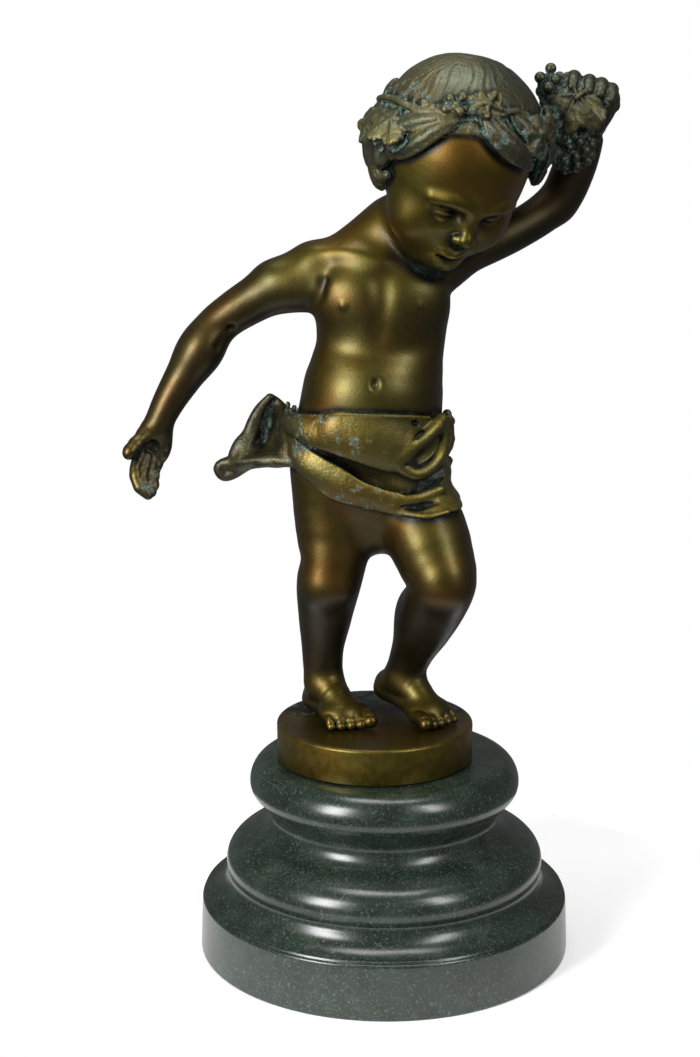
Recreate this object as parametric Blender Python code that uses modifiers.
"""Bronze boy with a vine wreath and grapes, cast in one with a round bronze base, on a turned stone plinth.

Metres, +Z up. The origin is the centre of the plinth's underside, and the boy stands facing -Y.
The boy's pose, proportions and carving are shares of FIGURE_HEIGHT: at() takes 200ths of it, measured
from the centre of the bronze base's top, so that at the height modelled one share is one millimetre.
"""

import math

import bmesh
import bpy
from mathutils import Euler, Matrix, Vector

# Plinth
PLINTH_RADIUS = 0.05715
PLINTH_HEIGHT = 0.0610
DRUM_HEIGHT = 0.0172
DRUM_DRAFT = 0.0006
DRUM_EDGE = 0.0010
BIG_TORUS_RADIUS = 0.0489
BIG_TORUS_Z = 0.0284
NECK_RADIUS = 0.0355
NECK_Z = 0.0429
TOP_TORUS_RADIUS = 0.0414
TOP_TORUS_Z = 0.0536
LATHE_STEPS = 48

# Bronze casting
BASE_RADIUS = 0.0300
BASE_THICKNESS = 0.0112
BASE_EDGE = 0.0009
BASE_OFFSET = -0.0030
SEAT_GAP = 0.0003
FIGURE_HEIGHT = 0.200
SHARE = FIGURE_HEIGHT / 200
FOOT_LEVEL = PLINTH_HEIGHT + SEAT_GAP + BASE_THICKNESS
SOLE_DEPTH = 0.0012  # how far the soles run into the base they are cast on
SOLE = -SOLE_DEPTH / SHARE

# Clay work, in shares of the figure's height
FLESH_VOXEL = 1.25 * SHARE
DETAIL_VOXEL = 0.85 * SHARE
FLESH_SMOOTHING = 9
DETAIL_SMOOTHING = 1
FIGURE_TRIANGLES = 6500

# Head
SKULL_CENTRE = (23.0, -13.5, 172.4)
SKULL_RADIUS = 22.4
HEAD_NOD, HEAD_YAW, HEAD_LEAN = 33, 26, 8
HAIR_THICKNESS = 1.8
WREATH_LEAVES = 13
GRAPE_RADIUS = 1.9


def clear_scene():
    for obj in list(bpy.data.objects):
        bpy.data.objects.remove(obj, do_unlink=True)


def at(x, y, h):
    """A point of the figure, from the centre of the base's top, in 200ths of its height."""
    return Vector((BASE_OFFSET, 0, FOOT_LEVEL)) + Vector((x, y, h)) * SHARE


def head_turn():
    """The head nods forward, then turns to its left, then leans over."""
    nod = Matrix.Rotation(math.radians(HEAD_NOD), 3, "X")
    yaw = Matrix.Rotation(math.radians(HEAD_YAW), 3, "Z")
    lean = Matrix.Rotation(math.radians(HEAD_LEAN), 3, "Y")
    return lean @ yaw @ nod


def on_head(x, y, h):
    """A point of the head, from the skull's centre and turned with the head."""
    return tuple(Vector(SKULL_CENTRE) + head_turn() @ Vector((x, y, h)))


def link(obj, collection):
    collection.objects.link(obj)
    return obj


def mass(centre, radii, turn=(0, 0, 0), segments=20, rings=12):
    """A ball or egg of clay: radii along its own axes, turned by degrees."""
    made = bmesh.new()
    bmesh.ops.create_uvsphere(made, u_segments=segments, v_segments=rings, radius=1)
    shape = Vector(radii) * SHARE
    spin = Euler([math.radians(a) for a in turn]).to_matrix()
    for vert in made.verts:
        vert.co = at(*centre) + spin @ Vector(a * b for a, b in zip(vert.co, shape))
    return made


def head_mass(centre, radii, turn=(0, 0, 0)):
    """The same on the head, turned with it."""
    spin = head_turn() @ Euler([math.radians(a) for a in turn]).to_matrix()
    degrees = [math.degrees(a) for a in spin.to_euler()]
    return mass(on_head(*centre), radii, degrees)


def limb(points, radii, sides=6, depth=1.0):
    """A limb on a smooth path through the points, with a radius at each and rounded ends.

    depth is its thickness front to back as a share of its width.
    """
    curve = bpy.data.curves.new("limb", "CURVE")
    curve.dimensions = "3D"
    curve.bevel_depth = SHARE
    curve.bevel_resolution = sides
    curve.resolution_u = 6
    curve.use_fill_caps = True
    spline = curve.splines.new("BEZIER")
    spline.bezier_points.add(len(points) - 1)
    for knot, point, radius in zip(spline.bezier_points, points, radii):
        knot.co = at(*point)
        knot.radius = radius
        knot.handle_left_type = knot.handle_right_type = "AUTO"
    guide = bpy.data.objects.new("limb", curve)
    bpy.context.scene.collection.objects.link(guide)
    bpy.context.view_layer.update()
    mesh = bpy.data.meshes.new_from_object(guide.evaluated_get(bpy.context.evaluated_depsgraph_get()))
    bpy.data.objects.remove(guide)
    made = bmesh.new()
    made.from_mesh(mesh)
    bpy.data.meshes.remove(mesh)
    bmesh.ops.remove_doubles(made, verts=made.verts, dist=0.01 * SHARE)
    for point, radius in ((points[0], radii[0]), (points[-1], radii[-1])):
        add_to(made, mass(point, (radius,) * 3, segments=12, rings=8))
    middle = at(*points[0]).y
    for vert in made.verts:
        vert.co.y = middle + (vert.co.y - middle) * depth
    return made


def add_to(target, other):
    """Moves the faces of one bmesh into another."""
    mesh = bpy.data.meshes.new("part")
    other.to_mesh(mesh)
    other.free()
    target.from_mesh(mesh)
    bpy.data.meshes.remove(mesh)
    return target


def modelled(name, pieces, voxel, smoothing):
    """Presses overlapping pieces of clay into one skin: a voxel remesh, then smoothing."""
    made = bmesh.new()
    for piece in pieces:
        add_to(made, piece)
    mesh = bpy.data.meshes.new(name)
    made.to_mesh(mesh)
    made.free()
    obj = link(bpy.data.objects.new(name, mesh), bpy.context.scene.collection)
    remesh = obj.modifiers.new("press together", "REMESH")
    remesh.mode = "VOXEL"
    remesh.voxel_size = voxel
    smooth = obj.modifiers.new("smooth the clay", "SMOOTH")
    smooth.iterations = smoothing
    smooth.factor = 0.5
    return obj


def as_bmesh(obj):
    """The object with its modifiers applied, as a bmesh, and the object itself removed."""
    bpy.context.view_layer.update()
    made = bmesh.new()
    made.from_object(obj, bpy.context.evaluated_depsgraph_get())
    bpy.data.objects.remove(obj)
    return made


def both_sides(maker, x, *rest):
    """The same piece on both sides of the head."""
    return [maker((side * x[0], *x[1:]), *rest) for side in (-1, 1)]


# The boy's flesh


def torso():
    spine = [(-2.4, 1, 80), (-2.0, 1, 90), (-0.7, 1, 101), (1.3, 1, 114), (1.9, 1, 125), (1.8, 1, 133)]
    return [
        limb(spine, [21.6, 21.8, 20.6, 18.8, 19.6, 17.2], depth=0.7),
        mass((-2.4, -5.0, 101), (15.5, 12.0, 13)),
        mass((-8.5, -6.5, 130), (9.5, 6.0, 8.5), (0, 0, -12)),
        mass((10.5, -6.5, 129), (9.0, 6.0, 8.5), (0, 0, 12)),
        mass((-10.5, 10.5, 81), (11.0, 9.5, 10)),
        mass((8.2, 10.5, 81), (10.6, 9.5, 10)),
        mass((-1.0, 1.0, 66), (9.0, 9.0, 12)),
    ]


def neck_and_shoulders():
    return [
        limb([(2, 4, 134), (8, 1, 146), (16, -6, 157)], [11.5, 9.6, 11]),
        limb([(-17, 3, 138), (-6, 3, 142.6), (4, 2, 150)], [6.4, 7.8, 8.4]),
        limb([(20, 4, 139.5), (14, 3, 144), (10, 2, 150)], [6.6, 7.5, 7.5]),
        mass((-18.5, 3, 136.5), (7.8, 8.0, 8.0)),
        mass((19.0, 4, 139), (7.4, 7.8, 7.4)),
    ]


def right_arm():
    path = [(-18.5, 3, 136), (-33, 3, 129.5), (-47, 2.5, 120.5), (-54, 1, 110), (-60.3, -1, 99.5), (-63.6, -2, 93)]
    return [limb(path, [7.6, 6.8, 6.2, 6.1, 5.2, 4.5])]


def left_arm():
    path = [
        (20.5, 4, 140), (34.9, 6.5, 145.2), (43.0, 8.5, 149), (49.8, 10.5, 153.2),
        (55.0, 11.5, 158.2), (58.1, 10.5, 165.7), (60.3, 9, 171.6), (62.6, 6.5, 180),
    ]
    return [limb(path, [7.0, 6.1, 5.9, 6.1, 6.4, 6.5, 5.9, 4.8])]


def right_leg():
    path = [
        (-12.9, 3, 78), (-12.8, 1.6, 66), (-12.4, 0, 51), (-13.8, -0.4, 44.4),
        (-15.1, 2.2, 32.5), (-16, 3.6, 20.6), (-15.8, 4.2, 12),
    ]
    return [
        limb(path, [12.6, 12.0, 10.0, 10.0, 8.3, 6.6, 6.2]),
        mass((-13.8, -4.8, 43.4), (6.8, 5.6, 6.8)),
        mass((-15.2, 6.0, 31.5), (7.0, 6.0, 10)),
    ]


def left_leg():
    path = [
        (9.2, 2.5, 80), (11.2, 0, 70), (14.6, -5, 61), (19.9, -11.5, 46.5),
        (14.8, -3.4, 31), (11.6, 1.2, 22), (8.8, 4.6, 13),
    ]
    return [
        limb(path, [11.8, 12.0, 12.8, 10.1, 9.0, 7.1, 6.0]),
        mass((20.2, -15.4, 46.2), (7.2, 6.0, 7.6)),
        mass((13.6, 0.8, 33.5), (7.2, 6.8, 9.8), (22, 0, 0)),
    ]


def sole(back, ball, width):
    """The flat underside of a foot, cast into the top of the base."""
    level = SOLE + 2.6
    return [
        limb([(*back, level), (*ball, level)], [3.6, 3.6], depth=1.0),
        mass((*ball, level), (width, 4.8, 2.6), (0, 0, 18)),
    ]


def foot(heel, ankle, ball, width):
    """Heel, instep and ball of one foot."""
    return [
        mass(heel, (5.4, 5.8, 5.2)),
        limb([ankle, tuple((a + b) / 2 + c for a, b, c in zip(ankle, ball, (0, 0, 0.8))), ball], [5.4, 5.2, 3.8]),
        mass(ball, (width, 5.2, 3.8), (0, 0, 18)),
    ]


def skull():
    return [
        head_mass((0, 2.0, 0), (SKULL_RADIUS * 0.95, SKULL_RADIUS * 1.08, SKULL_RADIUS * 0.96)),
        head_mass((0, -6.5, -12), (18.0, 14.5, 15.0)),
        head_mass((0, -11.5, -25.5), (8.5, 8.0, 6.0)),
        *both_sides(head_mass, (9.0, -10.5, -16.5), (9.5, 8.6, 9.0)),
    ]


def flesh():
    right_foot = foot((-17.2, 8.2, 5.0), (-15.2, 3.5, 9.0), (-9.6, -4.8, 3.9), 7.6)
    left_foot = foot((4.6, 9.5, 8.8), (8.4, 5.0, 11.0), (17.0, -3.2, 4.2), 7.0)
    soles = sole((-17.0, 8.0), (-9.8, -4.6), 7.0) + sole((13.6, -1.0), (17.0, -3.4), 6.6)
    pieces = torso() + neck_and_shoulders() + right_arm() + left_arm() + right_leg() + left_leg() + soles
    return as_bmesh(modelled("flesh", pieces + right_foot + left_foot + skull(), FLESH_VOXEL, FLESH_SMOOTHING))


# Carving


def face():
    """A plain calm child's face: brow, closed eyes, nose, lips, chin and ears."""
    return [
        head_mass((0, -20.4, -11.5), (2.1, 2.6, 5.0), (-14, 0, 0)),
        head_mass((0, -22.4, -14.8), (2.4, 2.2, 2.0)),
        *both_sides(head_mass, (2.3, -21.0, -15.4), (1.7, 1.8, 1.4)),
        *both_sides(head_mass, (7.4, -17.6, -8.0), (4.2, 2.8, 2.6)),
        head_mass((0, -20.2, -19.4), (3.8, 2.0, 1.2)),
        head_mass((0, -19.6, -21.6), (3.0, 2.0, 1.3)),
        head_mass((0, -17.0, -26.4), (4.4, 3.4, 3.2)),
        *both_sides(head_mass, (20.3, 1.5, -10.5), (2.2, 3.6, 5.6), (12, 0, 0)),
    ]


def toes(first, last, direction, sizes):
    """A row of toes from the first to the last, each pointing along direction."""
    row = []
    for i, size in enumerate(sizes):
        share = i / (len(sizes) - 1)
        root = tuple(a + (b - a) * share for a, b in zip(first, last))
        tip = tuple(a + b * 3.6 for a, b in zip(root, direction))
        row.append(limb([root, tip], [size, size * 0.92], 3))
    return row


def right_hand():
    """The lowered hand: a palm, four bent fingers and the thumb set apart."""
    across = Vector((0.78, 0.60, 0.10))
    inward = Vector((0.60, -0.75, -0.20))
    down = Vector((-0.10, -0.08, -1.0))
    palm = Vector((-67.2, -2.8, 88.0))
    pieces = [
        mass((-66.6, -2.6, 87.5), (3.4, 5.0, 6.4), (0, 0, -52)),
        limb([(-65.6, -4.0, 91), (-69.4, -7.6, 88), (-72.4, -9.6, 86)], [2.7, 2.2, 1.8], 3),
    ]
    for i, length in enumerate((11.0, 12.4, 11.6, 9.4)):
        root = palm + across * (-3.9 + 2.6 * i) + down * 4.5
        middle = root + down * length * 0.55 + inward * 0.8
        tip = root + down * length + inward * 3.4
        pieces.append(limb([tuple(root), tuple(middle), tuple(tip)], [2.0, 1.8, 1.45], 3))
    return pieces


def left_hand():
    """The raised hand, closed over the vine: its fingers come forward over the top."""
    pieces = [mass((62.6, 4.5, 184.5), (5.6, 4.6, 6.0), (0, 20, 0))]
    for i, (x, h) in enumerate(((56.2, 192.2), (59.8, 191.6), (63.2, 190.4), (66.2, 188.4))):
        knuckle = (x + 0.4, 4.5, h - 0.8)
        crest = (x, 0.2, h)
        tip = (x - 0.8, -3.6, h - 3.2)
        pieces.append(limb([knuckle, crest, tip], [2.0, 2.1, 1.8], 3))
    pieces.append(limb([(61, 2.5, 182), (57.5, -1.5, 181.5), (55.5, -4.0, 183)], [2.6, 2.3, 1.9], 3))
    return pieces


def hair():
    """A cap of combed locks over the skull, with curls behind the ears and at the nape."""
    cap = SKULL_RADIUS + HAIR_THICKNESS * 0.6
    locks = [head_mass((0, 3.0, 1.0), (cap * 0.99, cap * 1.06, cap * 0.94))]
    for i in range(12):
        turn = 2 * math.pi * (i + 0.5) / 12
        reach = SKULL_RADIUS + HAIR_THICKNESS
        path = []
        for fall in (20, 45, 70, 92):
            out, up = math.sin(math.radians(fall)), math.cos(math.radians(fall))
            path.append(on_head(reach * out * math.sin(turn), 3 - 1.06 * reach * out * math.cos(turn), reach * up))
        if abs(turn - math.pi) < 2.2:
            locks.append(limb(path, [1.6, 2.0, 2.0, 1.4], 3))
    for i in range(9):
        turn = math.radians(-118 - 15.5 * i)
        out = SKULL_RADIUS + 0.6
        curl = (out * math.sin(turn), 2.5 - out * math.cos(turn), -11 - 2.5 * math.sin(i * 1.9))
        locks.append(head_mass(curl, (3.8, 3.8, 4.6)))
    return locks


def wreath_place(turn, lift=0.0):
    """A point on the wreath's ring, higher over the brow than at the nape."""
    out = SKULL_RADIUS + HAIR_THICKNESS + 0.6 + lift
    high = 10.0 + 11.0 * math.cos(turn)
    level = math.sqrt(max(out * out - high * high, 1))
    return (level * math.sin(turn), 2.5 - level * math.cos(turn), high)


def wreath():
    """Vine leaves laid round the head, with small fruit between them over the brow."""
    pieces = []
    for i in range(WREATH_LEAVES):
        turn = 2 * math.pi * (i + 0.5) / WREATH_LEAVES
        x, y, h = wreath_place(turn)
        pieces.append(head_mass((x, y, h), (4.9, 1.7, 4.4), (-18, 0, math.degrees(turn))))
        berry = wreath_place(turn + math.pi / WREATH_LEAVES, 1.2)
        pieces.append(head_mass(berry, (GRAPE_RADIUS,) * 3))
    big_leaf = wreath_place(math.radians(-72), 1.4)
    pieces.append(head_mass(big_leaf, (8.0, 2.2, 7.5), (-22, 14, -72)))
    return pieces


def bunch(centre, radii, count):
    """Grapes packed round an egg-shaped core."""
    pieces = [mass(centre, tuple(0.72 * r for r in radii))]
    for i in range(count):
        up = 1 - 2 * (i + 0.5) / count
        turn = i * math.pi * (3 - math.sqrt(5))
        level = math.sqrt(1 - up * up)
        place = (level * math.cos(turn), level * math.sin(turn), up)
        spot = tuple(c + r * p * 0.85 for c, r, p in zip(centre, radii, place))
        pieces.append(mass(spot, (GRAPE_RADIUS,) * 3, segments=10, rings=7))
    return pieces


def grapes():
    """The fruit and leaf in the raised hand, which rest against the side of the head."""
    return [
        *bunch((52.5, -3.0, 171.5), (8.0, 6.0, 7.0), 22),
        *bunch((50.0, -1.0, 187.5), (6.0, 4.5, 4.5), 12),
        mass((53.5, -6.2, 182.0), (9.8, 1.9, 6.4), (-12, 10, 6)),
        limb([(42, -6, 172), (48, -1, 178), (56, 1, 183)], [3.6, 4.4, 4.0], 4),
    ]


def skirt_edge(turn):
    """Height of the cloth's top edge and of its hem at a turn round the body: 0 faces forward."""
    side = math.sin(turn)
    return 95.6 - 2.6 * side, 74.0 - 7.0 * side


def loincloth():
    """The wrap round the hips: a closed loft of rings from its top edge to its hem."""
    rings, sides = 8, 48
    made = bmesh.new()
    rows = []
    for i in range(rings + 1):
        fall = i / rings
        row = []
        for j in range(sides):
            turn = 2 * math.pi * j / sides
            top, hem = skirt_edge(turn)
            wide = 22.4 + 2.4 * fall
            deep = 17.9 + 1.4 * math.sin(math.pi * fall)
            swag = 0.9 * math.sin(9 * fall + 2.2 * math.sin(turn)) * math.cos(turn / 2) ** 2
            x = -1.2 - 1.4 * fall + (wide + swag) * math.sin(turn)
            y = 1.4 - (deep + swag) * math.cos(turn)
            row.append(made.verts.new(at(x, y, top + (hem - top) * fall)))
        rows.append(row)
    for upper, lower in zip(rows, rows[1:]):
        for j in range(sides):
            k = (j + 1) % sides
            made.faces.new((upper[j], lower[j], lower[k], upper[k]))
    made.faces.new(rows[0])
    made.faces.new(list(reversed(rows[-1])))
    return [made]


def folds():
    """The roll of cloth that swags from one hip to the knot at the other, and the folds under it."""
    return [
        limb([(-24, -6, 92), (-13, -15.5, 88), (2, -19, 83), (14, -15.5, 82), (19.4, -5, 86)], [2.4, 2.7, 3.0, 2.9, 2.6]),
        limb([(18.8, 0, 92.5), (19.8, -1.5, 86), (19.6, -2, 80)], [2.2, 2.4, 2.2]),
        limb([(4, -19.5, 77), (12, -17.6, 78.5), (19, -10, 80)], [1.6, 2.0, 1.8], 4),
        limb([(3, -18.8, 71.5), (11, -18.2, 72), (19.4, -11, 74)], [1.5, 1.8, 1.6], 4),
    ]


def flying_end():
    """The free end of the cloth at the right hip, blown out and curled, from a coarse cage."""
    cage = [
        [(-21, 3, 97), (-26, 4, 99.0), (-31.0, 5, 102)],
        [(-22, -2, 93), (-29, 1, 94), (-36.0, 5, 95)],
        [(-24, -6, 87), (-32, -3, 87), (-40.5, 4, 87.5)],
        [(-25, -8, 82), (-34, -6, 81.5), (-43.0, 1, 82.5)],
        [(-24, -5, 79), (-36, -2, 78), (-49.0, 3, 79.0)],
        [(-23, 3, 80), (-35, 5, 79.0), (-47.0, 7, 75.0)],
    ]
    made = bmesh.new()
    rows = [[made.verts.new(at(*p)) for p in row] for row in cage]
    for upper, lower in zip(rows, rows[1:]):
        for j in range(len(upper) - 1):
            made.faces.new((upper[j], lower[j], lower[j + 1], upper[j + 1]))
    mesh = bpy.data.meshes.new("cloth")
    made.to_mesh(mesh)
    made.free()
    obj = link(bpy.data.objects.new("cloth", mesh), bpy.context.scene.collection)
    rounded = obj.modifiers.new("round the cage", "SUBSURF")
    rounded.levels = rounded.render_levels = 2
    thick = obj.modifiers.new("cloth thickness", "SOLIDIFY")
    thick.thickness = 2.6 * SHARE
    thick.offset = 0
    return [as_bmesh(obj)]


def carving():
    right_toes = toes((-14.6, -6.6, 2.8), (-1.8, -7.6, 2.9), (0.30, -0.95, -0.04), (1.6, 1.7, 1.8, 1.9, 2.4))
    left_toes = toes((12.6, -6.8, 3.0), (24.4, -3.4, 2.8), (0.42, -0.90, -0.06), (2.4, 1.9, 1.8, 1.7, 1.6))
    return [
        *face(),
        *right_toes,
        *left_toes,
        *right_hand(),
        *left_hand(),
        *hair(),
        *wreath(),
        *grapes(),
        *loincloth(),
        *folds(),
        *flying_end(),
    ]


# The two solids


def bronze_base():
    """The round base that the feet are cast on."""
    bpy.ops.mesh.primitive_cylinder_add(
        vertices=LATHE_STEPS,
        radius=BASE_RADIUS,
        depth=BASE_THICKNESS,
        location=(BASE_OFFSET, 0, FOOT_LEVEL - BASE_THICKNESS / 2),
    )
    base = bpy.context.object
    base.name = "base"
    edge = base.modifiers.new("softened edge", "BEVEL")
    edge.width = BASE_EDGE
    edge.segments = 2
    edge.limit_method = "ANGLE"
    return base


def bronze_boy(collection, cutters):
    """The whole casting: boy, cloth, wreath and grapes joined to the round base."""
    figure = modelled("figure", [flesh(), *carving()], DETAIL_VOXEL, DETAIL_SMOOTHING)
    bpy.context.view_layer.update()
    evaluated = figure.evaluated_get(bpy.context.evaluated_depsgraph_get())
    triangles = sum(len(p.vertices) - 2 for p in evaluated.data.polygons)
    thin = figure.modifiers.new("fewer faces", "DECIMATE")
    thin.ratio = FIGURE_TRIANGLES / triangles
    figure.name = "figure_without_base"
    cutters.objects.link(figure)
    bpy.context.scene.collection.objects.unlink(figure)
    figure.hide_render = True
    figure.display_type = "WIRE"

    boy = bronze_base()
    boy.name = "bronze_boy"
    join = boy.modifiers.new("cast together", "BOOLEAN")
    join.operation = "UNION"
    join.object = figure
    for old in list(boy.users_collection):
        old.objects.unlink(boy)
    collection.objects.link(boy)
    boy.data.materials.append(finish("patinated_bronze", (0.16, 0.11, 0.045), 0.9, 0.38))
    boy.data.shade_smooth()
    return boy


def round_moulding(radius, z, bulge, rise, start, end, steps):
    """Points of a moulding: part of an oval centred at (radius, z), between two angles in degrees."""
    turns = [math.radians(start + (end - start) * i / steps) for i in range(steps + 1)]
    return [(radius + bulge * math.cos(a), z + rise * math.sin(a)) for a in turns]


def plinth_profile():
    """The outer side from top to bottom: torus, hollow neck, big torus, cove and drum."""
    top_rise = PLINTH_HEIGHT - TOP_TORUS_Z
    drum_top = PLINTH_RADIUS - DRUM_DRAFT
    return [
        (0, PLINTH_HEIGHT),
        *round_moulding(TOP_TORUS_RADIUS - 0.0064, TOP_TORUS_Z, 0.0064, top_rise, 90, 0, 5),
        *round_moulding(TOP_TORUS_RADIUS - 0.0064, TOP_TORUS_Z, 0.0064, 0.0060, -20, -48, 2),
        *round_moulding(NECK_RADIUS + 0.0086, NECK_Z, 0.0086, 0.0064, 150, 246, 6),
        *round_moulding(BIG_TORUS_RADIUS - 0.0085, BIG_TORUS_Z, 0.0085, 0.0076, 68, -28, 6),
        *round_moulding(PLINTH_RADIUS, DRUM_HEIGHT + 0.0080, 0.0088, 0.0074, 195, 262, 4),
        *round_moulding(drum_top - DRUM_EDGE, DRUM_HEIGHT - DRUM_EDGE, DRUM_EDGE, DRUM_EDGE, 84, 0, 2),
        (PLINTH_RADIUS, DRUM_EDGE),
        (PLINTH_RADIUS - DRUM_EDGE, 0),
        (0, 0),
    ]


def stone_plinth(collection):
    """The turned plinth, one stone, its profile swept round by a Screw modifier."""
    made = bmesh.new()
    row = [made.verts.new((r, 0, z)) for r, z in plinth_profile()]
    for a, b in zip(row, row[1:]):
        made.edges.new((a, b))
    mesh = bpy.data.meshes.new("stone_plinth")
    made.to_mesh(mesh)
    made.free()
    plinth = link(bpy.data.objects.new("stone_plinth", mesh), collection)
    lathe = plinth.modifiers.new("lathe", "SCREW")
    lathe.steps = lathe.render_steps = LATHE_STEPS
    lathe.use_merge_vertices = True
    lathe.merge_threshold = 0.0001
    mesh.materials.append(finish("green_stone", (0.045, 0.065, 0.055), 0.0, 0.2))
    return plinth


def finish(name, colour, metallic, roughness):
    material = bpy.data.materials.new(name)
    material.use_nodes = True
    shader = material.node_tree.nodes["Principled BSDF"]
    shader.inputs["Base Color"].default_value = (*colour, 1)
    shader.inputs["Metallic"].default_value = metallic
    shader.inputs["Roughness"].default_value = roughness
    material.diffuse_color = (*colour, 1)
    return material


def main():
    clear_scene()
    parts = bpy.data.collections.new("boy_statue")
    cutters = bpy.data.collections.new("helpers")
    bpy.context.scene.collection.children.link(parts)
    bpy.context.scene.collection.children.link(cutters)
    stone_plinth(parts)
    bronze_boy(parts, cutters)


main()
